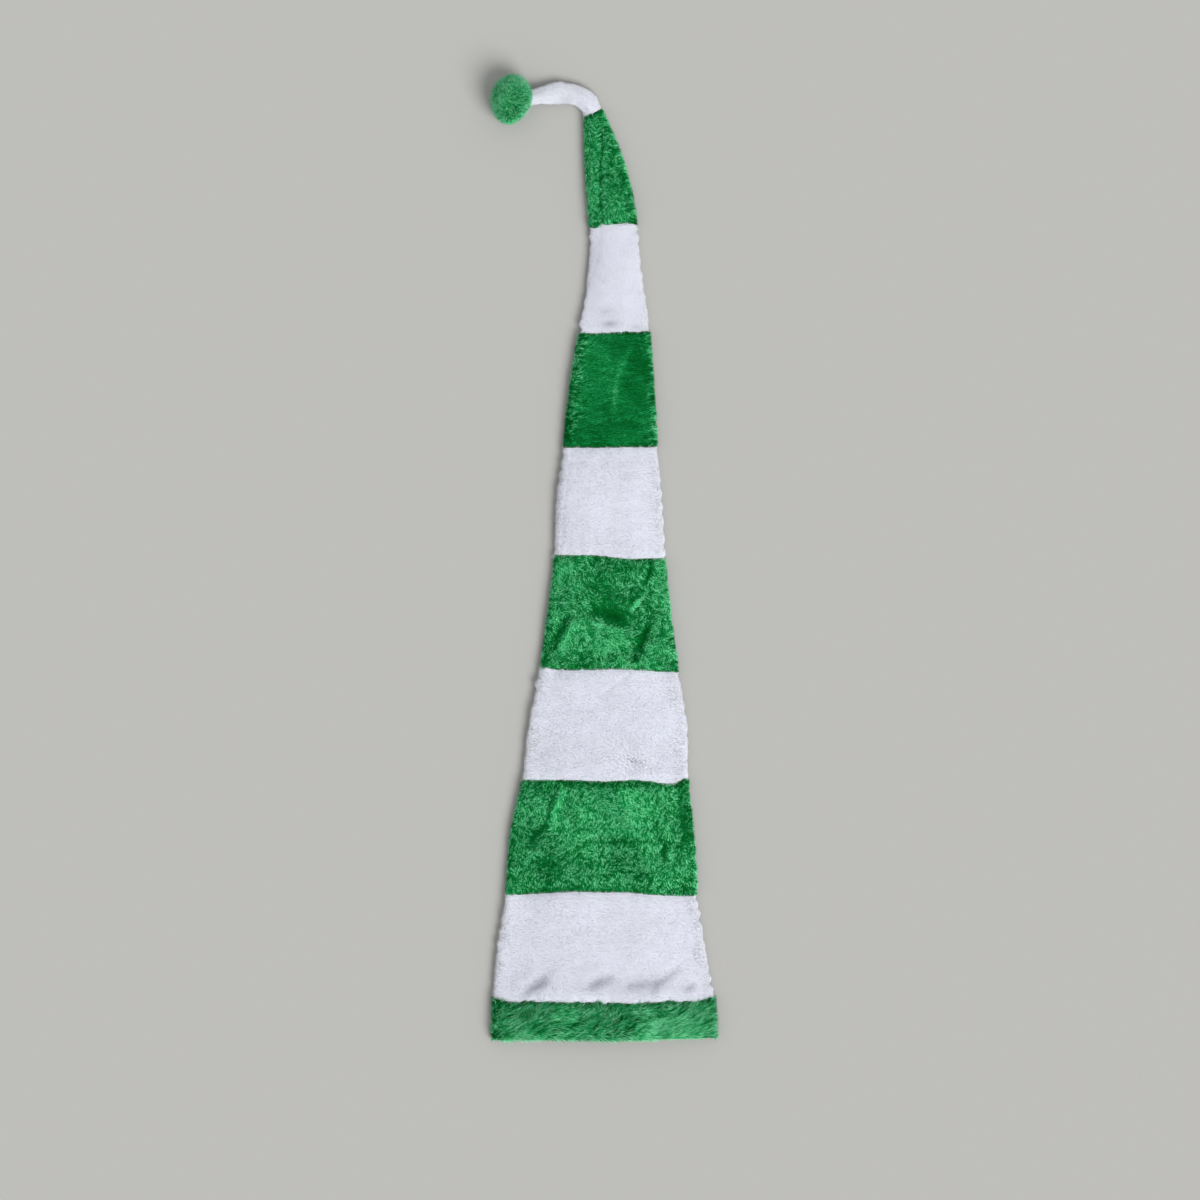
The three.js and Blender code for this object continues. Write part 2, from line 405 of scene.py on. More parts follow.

# Patches painted lighter or darker, in millimetres: painted light and shade where the nap is brushed up or
# down, painted shade in dents, creases and beside seams, and painted highlights on ridges
PAINTED_LIGHT_PATCHES = table(
    ("x", "y", "turn", "long", "wide", "lift"),
    [
        (100, 27, 24, 44, 15, 0.2),
        (116, 12, 12, 30, 12, 0.2),
        (55, 14, 24, 20, 9, 0.22),
        (-90, 22, 35, 26, 8, 0.14),
        (-45, 38, 35, 30, 7, 0.14),
        (-118, 34, 0, 32, 12, -0.2),
        (-52, 20, 20, 24, 12, -0.14),
        (15, 22, 22, 24, 10, -0.1),
        (-60, 46, 0, 60, 5, -0.16),
        (27, 291, -15, 60, 34, 0.14),
        (-100, 285, 75, 30, 16, 0.1),
        (-85, 222, 0, 34, 18, -0.1),
        (-66, 222, -40, 20, 10, -0.24),
        (-93, 229, 45, 22, 3, 0.26),
        (-75, 315, 0, 13, 6, -0.25),
        (-67, 292, 70, 24, 3, -0.42),
        (-59, 290, 70, 24, 3, 0.28),
        (-83, 261, 48, 18, 4, -0.4),
        (-33, 243, 31, 18, 2.5, -0.38),
        (18, 252, 0, 42, 2.2, -0.42),
        (76, 238, 90, 11, 3, -0.45),
        (101, 275, 97, 42, 6, -0.36),
        (0, 322, 0, 95, 5, -0.2),
        (-20, 192, 0, 80, 4, -0.32),
        (2, 566, -60, 36, 18, -0.28),
        (12, 537, -20, 24, 11, -0.32),
        (12, 521, -14, 28, 2.5, 0.34),
        (-5, 503, -8, 34, 14, 0.14),
        (48, 508, 62, 18, 6, -0.55),
        (-56, 515, 60, 22, 5, -0.36),
        (-46, 502, 60, 24, 7, 0.2),
        (70, 492, 70, 34, 12, 0.16),
        (-50, 588, 30, 34, 20, 0.2),
        (30, 594, 0, 26, 10, -0.14),
        (72, 560, 82, 40, 9, 0.1),
        (45, 555, 54, 20, 2.4, 0.6),
        (40, 561, 54, 20, 3, -0.3),
        (57, 592, 78, 16, 3, -0.35),
        (-24, 845, 90, 60, 20, 0.12),
        (38, 850, 85, 45, 16, -0.14),
        (54, 842, 97, 62, 9, -0.14),
        (22, 790, 0, 22, 22, -0.08),
        (15, 784, 0, 34, 3, 0.12),
        (-10, 1130, 90, 44, 14, 0.12),
        (-18, 1090, 90, 50, 9, 0.08),
        (-3.5, 1097, 90, 68, 1.7, -0.28),
        (-114, 1209, 0, 30, 15, 0.32),
        (-134, 1174, 60, 18, 10, 0.26),
        (-103, 1172, 40, 24, 14, -0.26),
        (-10, 70, 0, 95, 13, -0.14),
        (-86, 71, 36, 20, 8, -0.46),
        (-8, 74, 24, 18, 8, -0.42),
        (44, 72, 13, 22, 8, -0.36),
        (72, 76, 36, 22, 8, -0.32),
        (107, 67, 20, 8, 5, -0.34),
        (-53, 690, 85, 66, 6, -0.24),
        (-18, 408, 0, 12, 5, -0.1),
        (38, 352, 0, 30, 16, -0.1),
        (41, 352, -15, 9, 2.5, -0.4),
        (8, 903, 0, 9, 4, -0.5),
        (4, 919, 0, 8, 4, -0.16),
        (40, 899, 0, 7, 3, -0.2),
        (-12, 996, 80, 14, 4, -0.16),
        (-52, 1183, 20, 16, 8, -0.3),
        (27, 862, 66, 22, 3, 0.24),
        (13, 815, 84, 30, 3, 0.2),
    ],
)

# Patches where the nap is ruffled, in millimetres
RUFFLED = table(
    ("x", "y", "turn", "long", "wide", "lift"),
    [
        (36, 352, 0, 36, 15, 0.95),
        (112, 72, 30, 22, 14, 0.25),
        (-126, 78, 80, 34, 9, 0.2),
        (-70, 376, 75, 50, 9, 0.2),
    ],
)

# Places where the cloth is drawn sideways or along the hat, in millimetres
PULLS = table(
    ("x", "y", "reach", "right", "up"),
    [
        (142, 0, 60, 0, 1),
        (-142, 0, 50, 0, -2),
        (0, 0, 60, 0, -1.5),
        (-141, 49, 15, 0, 4.5),
        (140, 50, 18, 0, 4.5),
        (-115, 186, 34, 0, -3),
        (105, 186, 44, 0, -3),
        (-50, 186, 45, 0, 2.5),
        (-104, 327, 24, 0, -2.2),
        (82, 326, 20, 0, -3),
        (102, 327, 7, 0, 4.5),
        (38, 608, 26, 0, -2.4),
        (56, 918, 14, 1.6, 0),
        (0, 1028, 30, 0, 1),
        (-16, 1024, 9, 0, 2),
        (46, 1031, 9, 0, -4),
        (-60, 1210, 13, 0, 2.2),
        (-55, 1181, 15, 0, -2.6),
        (-86, 1176, 12, 0, 4),
        (-8, 1190, 10, 2.2, 2.2),
        (-24, 1199, 12, 0.8, 1.8),
    ],
)


def smoothstep(low, high, value):
    share = np.clip((value - low) / (high - low), 0, 1)
    return share * share * (3 - 2 * share)


def bell(distance, reach):
    """1 at no distance, and nearly 0 from twice the reach."""
    return np.exp(-((distance / reach) ** 2))


def fading(distance, reach):
    """1 at no distance, and a little over a third as much at each further reach."""
    return np.exp(-distance / reach)


def unit(vectors):
    return vectors / np.maximum(np.linalg.norm(vectors, axis=-1, keepdims=True), TINY)


def along_surface(vectors, up):
    """The part of each vector that lies in the surface."""
    return vectors - up * (vectors * up).sum(1, keepdims=True)


def noise(x, y, size, seed):
    """Smooth hills of about this size, mostly from -1 to 1."""
    rng = np.random.default_rng(seed)
    slowest, fastest = NOISE_PACE
    lowest, highest = (0, 0, slowest), (2 * math.pi, 2 * math.pi, fastest)
    total = np.zeros(x.shape)
    for turn, phase, pace in rng.uniform(lowest, highest, (NOISE_WAVES, 3)):
        total += np.cos((x * math.cos(turn) + y * math.sin(turn)) * pace * math.pi / size + phase)
    return total * NOISE_HEIGHT / math.sqrt(NOISE_WAVES)


def hills(x, y, layer, own_seed=0):
    """One layer of noise. Its own seed tells one seam or piece from the next."""
    height, size, seed = layer
    return height * noise(x, y, size, seed + own_seed)


def clumps(x, y, size, seed):
    """The middle of the nearest of many scattered clumps, and a number from 0 to 1 of its own."""
    cells = np.random.default_rng(seed).uniform(0, 1, (CLUMP_CELLS, CLUMP_CELLS, 3))
    column, row = np.floor(x / size).astype(int), np.floor(y / size).astype(int)
    nearest = np.full(x.shape, np.inf)
    middle = np.zeros(x.shape + (2,))
    own = np.zeros(x.shape)
    for across in (-1, 0, 1):
        for along in (-1, 0, 1):
            cell = cells[(column + across) % CLUMP_CELLS, (row + along) % CLUMP_CELLS]
            place = np.stack([column + across + cell[..., 0], row + along + cell[..., 1]], axis=-1) * size
            reach = (place[..., 0] - x) ** 2 + (place[..., 1] - y) ** 2
            closer = reach < nearest
            nearest = np.where(closer, reach, nearest)
            middle[closer] = place[closer]
            own[closer] = cell[..., 2][closer]
    return middle, own


def strokes(x, y, heading, length, size, seed):
    """A number for each place, mostly from 0 to 1, that changes little along the nap."""
    values = []
    for step in np.linspace(-length / 2, length / 2, STROKE_STEPS):
        values.append(clumps(x + step * np.cos(heading), y + step * np.sin(heading), size, seed)[1])
    mean = np.mean(values, axis=0)
    return MIDDLE + (mean - MIDDLE) * STROKE_SPREAD / np.std(mean)


def rim_line(node, lower):
    """Left and right ends of a band's lower or upper rim."""
    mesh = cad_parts[node].data
    low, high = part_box(node)
    middle = (low.y + high.y) / 2
    rims = [face for face in mesh.polygons if abs(face.normal.y) > RIM_FACING]
    ends = [face for face in rims if (face.center.y < middle) == lower]
    corners = np.array([mesh.vertices[i].co for face in ends for i in face.vertices])
    return corners[corners[:, 0].argmin(), :2], corners[corners[:, 0].argmax(), :2]


SEAMS = [rim_line(name, True) for name in BANDS] + [rim_line(BANDS[-1], False)]


def seams_of(index):
    """The seams at a piece's ends, each with its way out of the piece: -1 to the rim or 1 to the tip."""
    return [(seam, outward) for seam, outward in ((index, -1), (index + 1, 1)) if seam < len(SEAMS)]


def beyond_seam(index, x, y):
    """How far a place is past a seam, towards the tip."""
    left, right = SEAMS[index]
    along = unit(right - left)
    return (y - left[1]) * along[0] - (x - left[0]) * along[1]


def side_room(index, x, y):
    """How far a place on a band is from the nearer of its two side folds."""
    if index >= len(BANDS):
        return np.full(x.shape, MARGIN)
    (left, right), (next_left, next_right) = SEAMS[index], SEAMS[index + 1]
    share = (y - left[1]) / (next_left[1] - left[1])
    from_left = x - left[0] - share * (next_left[0] - left[0])
    from_right = right[0] + share * (next_right[0] - right[0]) - x
    return np.minimum(from_left, from_right)


def fold_depth(x, y):
    """How deep the folds and dents are at a place."""
    depth = np.zeros(x.shape)
    wander = hills(x, y, FOLD_WANDER)
    for fold in FOLDS:
        half_width = fold["half_width"] * MM
        path = np.array(fold["path"]) * MM + [0, RIM_Y]
        shape = np.zeros(x.shape)
        for start, end in zip(path[:-1], path[1:], strict=True):
            length = np.linalg.norm(end - start)
            way = (end - start) / length
            along = (x - start[0]) * way[0] + (y - start[1]) * way[1]
            across = (y - start[1]) * way[0] - (x - start[0]) * way[1] + wander
            past_end = np.maximum(np.maximum(-along, along - length), 0)
            valley = bell(across, half_width)
            beside = bell(across - RIDGE_PLACE * half_width, half_width)
            profile = bell(past_end, half_width) * (valley - fold["ridge"] * beside)
            shape = np.where(np.abs(profile) > np.abs(shape), profile, shape)
        depth += fold["depth"] * MM * shape
    return depth


def patches(rows, x, y):
    """The sum of soft patches with these lifts."""
    lift = np.zeros(x.shape)
    for patch in rows:
        turn = math.radians(patch["turn"])
        across, along = x - patch["x"] * MM, y - RIM_Y - patch["y"] * MM
        u = (across * math.cos(turn) + along * math.sin(turn)) / (patch["long"] * MM)
        v = (along * math.cos(turn) - across * math.sin(turn)) / (patch["wide"] * MM)
        lift += patch["lift"] * np.exp(-u * u - v * v)
    return lift


def relief(x, y):
    """How far the upper layer stands above its smooth form."""
    lumps = sum(hills(x, y, layer) for layer in LUMPS)
    puckers = np.zeros(x.shape)
    for index in range(len(SEAMS)):
        far = np.abs(beyond_seam(index, x, y))
        puckers += hills(x, y * 0 + index, PUCKERS, index) * fading(far, PUCKER_REACH)
    return lumps + puckers - fold_depth(x, y)


def base_tone(x, y, shade):
    """The colour's place between deep, at 0, and light, at 1: painted shade in hollows and painted
    highlight on raised cloth, and the painted light and shade of the patches.
    """
    specks = hills(x, y, SPECKS) * patches(RUFFLED, x, y)
    # Painted shade in hollows and painted highlight on raised cloth
    height = np.clip(relief(x, y), *RELIEF_RANGE)
    return MIDDLE + shade + patches(PAINTED_LIGHT_PATCHES, x, y) + specks + RELIEF_PAINTED_LIGHT * height


def seam_shift(x, y):
    """How far the cloth is drawn along the hat where its seams wander."""
    shift = np.zeros(x.shape)
    for index in range(1, len(SEAMS)):
        row = y * 0 + index
        fray = sum(hills(x, row, layer, index) for layer in SEAM_FRAY)
        wander = hills(x, row, SEAM_WANDER, index) + SEAM_RAGGED[index] * fray
        if index == STEPPED_SEAM:
            wander -= STEP * smoothstep(STEP_BLEND, -STEP_BLEND, x - STEP_X)
        shift += bell(beyond_seam(index, x, y), SEAM_REACH) * wander
    return shift


def pulled(x, y):
    """How far the cloth is drawn right and up."""
    right, up = np.zeros(x.shape), np.zeros(x.shape)
    for pull in PULLS:
        across, along = x - pull["x"] * MM, y - RIM_Y - pull["y"] * MM
        near = np.exp(-(across * across + along * along) / (pull["reach"] * MM) ** 2)
        right += pull["right"] * MM * near
        up += pull["up"] * MM * near
    return right, up


def shown(name, mesh):
    piece = bpy.data.objects.new(name, mesh)
    bpy.context.scene.collection.objects.link(piece)
    return piece


def mesh_from(name, vertices, faces, materials, slots):
    """A piece from arrays of vertices and faces, with a material slot for each face."""
    mesh = bpy.data.meshes.new(name)
    mesh.vertices.add(len(vertices))
    mesh.vertices.foreach_set("co", np.ascontiguousarray(vertices, np.float32).ravel())
    mesh.loops.add(faces.size)
    mesh.loops.foreach_set("vertex_index", np.ascontiguousarray(faces, np.int32).ravel())
    mesh.polygons.add(len(faces))
    mesh.polygons.foreach_set("loop_start", np.arange(0, faces.size, faces.shape[1], dtype=np.int32))
    for material in materials:
        mesh.materials.append(material)
    mesh.polygons.foreach_set("material_index", np.ascontiguousarray(slots, np.int32))
    mesh.update(calc_edges=True)
    return shown(name, mesh)


def smooth_form(node, reach, levels):
    """A finer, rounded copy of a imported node's mesh. Faces inside its hollow get material slot 1."""
    shape = bmesh.new()
    shape.from_mesh(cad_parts[node].data)
    bmesh.ops.remove_doubles(shape, verts=shape.verts, dist=WELD)
    bmesh.ops.join_triangles(
        shape,
        faces=shape.faces,
        angle_face_threshold=JOIN_FACE_ANGLE,
        angle_shape_threshold=JOIN_SHAPE_ANGLE,
    )
    shape.normal_update()
    tree = BVHTree.FromBMesh(shape)
    for face in shape.faces:
        start = face.calc_center_median() + face.normal * CLEAR
        face.material_index = int(tree.ray_cast(start, face.normal, reach)[0] is not None)
    mesh = bpy.data.meshes.new(node)
    shape.to_mesh(mesh)
    shape.free()
    holder = shown(node, mesh)
    holder.modifiers.new("round", "SUBSURF").levels = levels
    rounded = bpy.data.meshes.new_from_object(holder.evaluated_get(bpy.context.evaluated_depsgraph_get()))
    bpy.data.objects.remove(holder)
    return rounded


def refine_outside(mesh, times):
    """Splits each upper and side face of the outside in four, this many times."""

    def wanted(face):
        return face.material_index == 0 and face.normal.z > UNDERSIDE

    shape = bmesh.new()
    shape.from_mesh(mesh)
    for _ in range(times):
        shape.normal_update()
        edges = [edge for edge in shape.edges if any(wanted(face) for face in edge.link_faces)]
        bmesh.ops.subdivide_edges(shape, edges=edges, cuts=1, use_grid_fill=True)
    shape.to_mesh(mesh)
    shape.free()


def places(mesh):
    co = np.empty(len(mesh.vertices) * 3, np.float32)
    mesh.vertices.foreach_get("co", co)
    return co.reshape(-1, 3).astype(float)


def normals(mesh):
    found = np.empty(len(mesh.vertices) * 3, np.float32)
    mesh.vertex_normals.foreach_get("vector", found)
    return found.reshape(-1, 3).astype(float)


def move_to(mesh, co):
    mesh.vertices.foreach_set("co", co.astype(np.float32).ravel())
    mesh.polygons.foreach_set("use_smooth", np.ones(len(mesh.polygons), bool))
    mesh.update()


def outside(mesh):
    """Whether each vertex is on the outside of the cloth."""
    flags = np.zeros(len(mesh.vertices), bool)
    for face in mesh.polygons:
        if face.material_index == 0:
            flags[list(face.vertices)] = True
    return flags


def press(mesh, index, slot):
    """Draws the pile's depth off the outside, and presses seams, folds and lumps into the upper layer."""
    facing, outer = normals(mesh), outside(mesh)
    x, y, z = places(mesh).T
    upper = smoothstep(*LAYER_HEIGHTS, z)
    inset = PILE_DEPTH * outer * smoothstep(*INSET_HEIGHTS, z)
    room = side_room(index, x, y)
    lift = relief(x, y)
    tuck = RIM_TRIM * bell(beyond_seam(0, x, y), RIM_REACH)
    for seam, outward in seams_of(index):
        if seam > 0:
            near = bell(beyond_seam(seam, x, y), LIP_REACH) * smoothstep(*LIP_ROOM, room)
            lift += LIP[slot] * near
            tuck += TUCK[slot] * outward * near * upper
    scallop = hills(y, x, SCALLOPS[slot], index) * (1 + hills(y, x, SCALLOPS_VARY, index))
    edge = bell(room, SCALLOP_REACH) * np.sign(x - x.mean())
    right, up = pulled(x, y)
    knobs = np.zeros(x.shape)
    if index >= len(BANDS):
        knobs = outer * hills(x, y, TAIL_KNOBS)
    moved = np.stack(
        [
            x + (knobs - inset) * facing[:, 0] + scallop * edge + right,
            y + knobs * facing[:, 1] + seam_shift(x, y) + up + tuck,
            z - inset * facing[:, 2] + upper * lift,
        ],
        axis=1,
    )
    move_to(mesh, moved)


def scatter(mesh, per_area, lowest, steepest, rng):
    """Places and normals spread evenly over the outside, where it is high enough and faces up enough."""
    mesh.calc_loop_triangles()
    corners = np.empty(len(mesh.loop_triangles) * 3, np.int32)
    mesh.loop_triangles.foreach_get("vertices", corners)
    corners = corners.reshape(-1, 3)
    slots = np.empty(len(mesh.loop_triangles), np.int32)
    mesh.loop_triangles.foreach_get("material_index", slots)
    co, facing = places(mesh), normals(mesh)
    high = co[corners].mean(1)[:, 2] > lowest
    up = facing[corners].mean(1)[:, 2] > steepest
    corners = corners[(slots == 0) & high & up]
    a, b, c = (co[corners[:, i]] for i in range(3))
    total = np.cumsum(np.linalg.norm(np.cross(b - a, c - a), axis=1) / 2)
    count = int(per_area * total[-1])
    picked = np.searchsorted(total, (np.arange(count) + rng.random(count)) / count * total[-1])
    chosen = corners[np.minimum(picked, len(corners) - 1)]
    u, v = rng.random((2, count))
    over = u + v > 1
    u, v = np.where(over, 1 - u, u)[:, None], np.where(over, 1 - v, v)[:, None]

    def blend(values):
        return values[chosen[:, 0]] * (1 - u - v) + values[chosen[:, 1]] * u + values[chosen[:, 2]] * v

    return blend(co), unit(blend(facing))


def spikes(roots, tips, widths, up, twist, rng):
    """Closed spikes as one mesh. Each has one side that faces up, but for its share of the twist."""
    way = unit(tips - roots)
    side = unit(np.cross(way, up))
    other = np.cross(way, side)
    spin = math.pi / 2 + twist * rng.uniform(-1, 1, len(roots))[:, None]
    ring = []
    for turn in np.arange(SPIKE_SIDES) * 2 * math.pi / SPIKE_SIDES:
        out = np.cos(spin + turn) * side + np.sin(spin + turn) * other
        ring.append(roots + widths[:, None] / 2 * out)
    corners = [*ring, tips]
    vertices = np.stack(corners, axis=1).reshape(-1, 3)
    faces = (np.arange(len(roots))[:, None, None] * len(corners) + SPIKE).reshape(-1, 3)
    return vertices, faces


class Pile:
    """The fibres on the outside of a piece, laid one way, gathered in tufts and drawn over the seams."""

    def __init__(self, mesh, node, index, lowest, steepest):
        self.node = node
        self.index = index
        self.look = PILES[node]
        self.seed = PILE_SEED + PILE_SEEDS_APART * index
        self.rng = np.random.default_rng(self.seed)
        per_area = self.look["per_m2"] * self.look["finer"]
        self.roots, self.up = scatter(mesh, per_area, lowest, steepest, self.rng)
        self.x, self.y, self.z = self.roots.T
        self.count = len(self.roots)
        self.margin = self.margin_share()
        # The painted light and shade of the patches at each fibre
        self.painted_light = patches(PAINTED_LIGHT_PATCHES, self.x, self.y)
        self.tuft = self.tuft_strength()
        self.brush()
        self.colour()
        for seam, outward in seams_of(index):
            self.draw_over(seam, outward)

    def hills(self, layer):
        return hills(self.x, self.y, layer, self.seed)

    def room(self):
        """How far each fibre is from the side folds, a little unevenly."""
        return side_room(self.index, self.x, self.y) + self.hills(MARGIN_WANDER)

    def margin_share(self):
        """How far each fibre belongs to the margins."""
        if self.index < len(BANDS):
            return 1 - smoothstep(MARGIN_CORE, MARGIN, self.room())
        return 1 - smoothstep(*ROUND_SIDES, self.up[:, 2])

    def towards_edge(self, field):
        """A field of the look, blended into the one that holds at the margins."""
        inner, edge = self.look[field], self.look["edge_" + field]
        return inner + (edge - inner) * self.margin

    def tuft_strength(self):
        """How strongly the fibres gather: less where the patches paint shade, and more where ruffled."""
        pressed = np.clip(-TUFTS_PRESSED * self.painted_light, 0, PRESSED_MOST)
        return self.towards_edge("tufts") * (1 - pressed) + patches(RUFFLED, self.x, self.y)

    def brush(self):
        """Finds each fibre's clump, lays its nap and sets its length."""
        look, rng = self.look, self.rng
        place = (self.x + self.z, self.y)
        clump = look["clump"] * MM
        self.middle, self.own = clumps(*place, clump, self.seed + CLUMP_SEED)
        drift = sum(self.hills(layer) for layer in SWIRLS)
        stray = drift + TUFT_TURN * (self.own - MIDDLE) * self.tuft
        loose = rng.normal(0, look["loose"], self.count)
        heading = np.radians(look["way"] + look["ruffled"] * stray + loose)
        self.nap = np.stack([np.cos(heading), np.sin(heading), np.zeros(self.count)], axis=1)
        if look["stroke"]:
            flow = np.radians(look["way"] + look["ruffled"] * drift)
            self.own = strokes(*place, flow, look["stroke"], clump, self.seed + CLUMP_SEED)
        self.length = look["long"] * MM * rng.uniform(*LENGTHS, self.count)
        wispy = smoothstep(*WISP_RANGE, self.hills(WISP_PATCHES))
        self.wisp = rng.random(self.count) < look["wisps"] * wispy

    def colour(self):
        """Sets the tone below the tufts, and the shares of pale fibres away from the seams."""
        self.tone = base_tone(self.x, self.y, self.towards_edge("shade"))
        self.pale = np.maximum(self.wisp, self.towards_edge("faded"))
        if self.look["slot"] == GREEN:
            # Green fibres turn pale where the patches paint light
            raised = np.clip(PALE_GAIN * self.painted_light - PALE_FROM, 0, PALE_MOST)
            self.pale = np.maximum(self.pale, raised)
        self.along_seam = np.zeros(self.count)
        self.crossing = np.zeros(self.count, bool)

    def draw_over(self, seam, outward):
        """Draws the nap over a seam, and colours it there, with painted shade on the green beside it. Of
        the green fibres, only some cross.
        """
        past = np.abs(beyond_seam(seam, self.x, self.y))
        drawn = fading(past, DRAWN_REACH)
        if seam == 0:
            drawn *= smoothstep(*RIM_CORNERS, self.room())
            self.pale = np.maximum(self.pale, RIM_PALE * fading(past, PALE_REACH))
        elif self.look["slot"] == WHITE:
            drawn *= WHITE_DRAWN + hills(self.x, self.y * 0 + seam, SEAM_TUFTS, self.seed)
            self.along_seam = np.maximum(self.along_seam, WHITE_SEAM_PALE * fading(past, PALE_REACH))
        else:
            drawn = self.rng.random(self.count) < CROSSING * self.tuft * fading(past, CROSSING_REACH)
            self.crossing |= drawn
            self.along_seam = np.maximum(self.along_seam, drawn)
            # Painted shade on the green beside the seam, under the white edge
            self.tone -= SEAM_PAINTED_SHADE * fading(past, SEAM_PAINTED_SHADE_REACH)
        self.nap[:, 1] += DRAWN * outward * drawn
        self.length *= 1 + DRAWN_LONGER * drawn

    def tips(self):
        """Where each fibre ends."""
        look = self.look
        nap = unit(along_surface(self.nap, self.up))
        stand = look["lean"] + self.hills(STANDS_VARY) * self.tuft
        stand += self.rng.normal(0, look["uneven"], self.count)
        stand += CROSSING_STANDS * self.crossing + look["edge_lean"] * self.margin
        stand = np.radians(stand)[:, None]
        length = self.length * (1 + look["edge_longer"] * self.margin) * np.where(self.wisp, WISP_LONGER, 1)
        tips = self.roots + length[:, None] * (nap * np.cos(stand) + self.up * np.sin(stand))
        across, along = self.middle.T
        gather = np.stack([across - self.x - self.z, along - self.y, np.zeros(self.count)], axis=1)
        tips += look["gathered"] * self.tuft[:, None] * along_surface(gather, self.up)
        tips[:, 2] = np.maximum(tips[:, 2], LOWEST_TIP)
        return tips

    def shades(self):
        """The number of each fibre's material."""
        look, rng = self.look, self.rng
        turn = math.radians(look["way"])
        along = self.x * math.cos(turn) + self.y * math.sin(turn)
        across = self.y * math.cos(turn) - self.x * math.sin(turn) + self.hills(STREAK_WANDER)
        streaks = hills(along / STREAK_LONG, across, (look["streaks"], STREAK_WIDE, STREAK_SEED), self.seed)
        mottle = self.hills((look["mottle"], MOTTLE_SIZE, MOTTLE_SEED))
        tone = self.tone + streaks
        tone += TUFT_TONE * self.tuft * (self.own - MIDDLE) + mottle
        tone += self.tuft * self.hills(TUFT_MOTTLE)
        spread = rng.normal(0, look["grain"], self.count)
        spread += rng.uniform(-DITHER, DITHER, self.count) / SHADES
        shades = np.clip(((tone + spread) * SHADES).astype(int), 0, SHADES - 1)
        shades = np.where(rng.random(self.count) < self.pale, PALE_SHADE, shades)
        return np.where(rng.random(self.count) < self.along_seam, SEAM_SHADE, shades)

    def made(self):
        """The fibres as one piece."""
        look = self.look
        tips = self.tips()
        widths = look["wide"] / look["finer"] * self.rng.uniform(*WIDTHS, self.count)
        widths *= np.where(self.wisp, WISP_THINNER, 1)
        roots = self.roots - self.up * ROOT_DEPTH
        vertices, faces = spikes(roots, tips, widths, self.up, look["twist"], self.rng)
        slots = np.repeat(self.shades(), len(SPIKE))
        return mesh_from(self.node + "_pile", vertices, faces, FIBRES[look["slot"]], slots)


def new_material(name):
    material = bpy.data.materials.new(name)
    material.use_nodes = True
    return material


def set_inputs(node, values):
    for name, value in values.items():
        node.inputs[name].default_value = value


def plain_material(name, colour, roughness, shine):
    """A material of one colour."""
    material = new_material(name)
    shader = material.node_tree.nodes["Principled BSDF"]
    set_inputs(shader, {"Base Color": (*colour, 1), "Roughness": roughness, "Specular IOR Level": shine})
    return material


def mixed(colours, share):
    """A colour between deep at 0 and light at 1."""
    steps = np.linspace(0, 1, len(colours))
    return [float(np.interp(share, steps, channel)) for channel in zip(*colours, strict=True)]


def fibre_materials(slot):
    """Shades of one plush colour, from deep to light, its pale one and the one along its seams."""
    shades = [mixed(COLOURS[slot], step / (SHADES - 1)) for step in range(SHADES)]
    colours = [*shades, PALE[slot], SEAM_PALE[slot]]
    return [
        plain_material(f"{slot}_fibre_{step}", colour, FIBRE_ROUGHNESS, SHINE)
        for step, colour in enumerate(colours)
    ]


def cloth_material(name, colours, scale, bump_height):
    """Short nap seen between the fibres: mottled colour, with roughness and bump from the same noise."""
    material = new_material(name)
    nodes = material.node_tree.nodes

    def added(kind, values):
        node = nodes.new(kind)
        set_inputs(node, values)
        return node

    shader = nodes["Principled BSDF"]
    set_inputs(shader, {"Specular IOR Level": SHINE})
    place = nodes.new("ShaderNodeTexCoord")
    # The tone attribute carries the painted light and shade of the pile above
    tone = nodes.new("ShaderNodeAttribute")
    tone.attribute_name = TONE
    broad = added("ShaderNodeTexNoise", {"Scale": scale / CLOTH_PATCHES, "Detail": 4})
    nap = added("ShaderNodeTexNoise", {"Scale": scale, "Detail": 3})
    blend = added("ShaderNodeMix", {"Factor": MIDDLE})
    mottle_range = {"From Min": 0.3, "From Max": 0.7, "To Min": -CLOTH_MOTTLE, "To Max": CLOTH_MOTTLE}
    mottle = added("ShaderNodeMapRange", mottle_range)
    total = nodes.new("ShaderNodeMath")
    ramp = nodes.new("ShaderNodeValToRGB")
    ramp.color_ramp.elements.new(MIDDLE)
    for stop, colour in zip(ramp.color_ramp.elements, colours, strict=True):
        stop.color = (*colour, 1)
    rough = added("ShaderNodeMapRange", {"To Min": 0.75, "To Max": 1.0})
    bump = added("ShaderNodeBump", {"Strength": 0.5, "Distance": bump_height})
    links = [
        (place.outputs["Object"], broad.inputs["Vector"]),
        (place.outputs["Object"], nap.inputs["Vector"]),
        (broad.outputs["Fac"], blend.inputs["A"]),
        (nap.outputs["Fac"], blend.inputs["B"]),
        (blend.outputs["Result"], mottle.inputs["Value"]),
        (mottle.outputs["Result"], total.inputs[0]),
        (tone.outputs["Fac"], total.inputs[1]),
        (total.outputs["Value"], ramp.inputs["Fac"]),
        (ramp.outputs["Color"], shader.inputs["Base Color"]),
        (nap.outputs["Fac"], rough.inputs["Value"]),
        (rough.outputs["Result"], shader.inputs["Roughness"]),
        (nap.outputs["Fac"], bump.inputs["Height"]),
        (bump.outputs["Normal"], shader.inputs["Normal"]),
    ]
    for start, end in links:
        material.node_tree.links.new(start, end)
    return material


def cloth_materials(slot):
    """The outside's nap and the knitted back, which shows only inside the hollow."""
    nap = cloth_material(slot, COLOURS[slot], NAP_SCALE, NAP_BUMP)
    back = cloth_material(slot + "_back", COLOURS[slot], BACK_SCALE, BACK_BUMP)
    return [nap, back]


FIBRES = {slot: fibre_materials(slot) for slot in COLOURS}
CLOTHS = {slot: cloth_materials(slot) for slot in COLOURS}


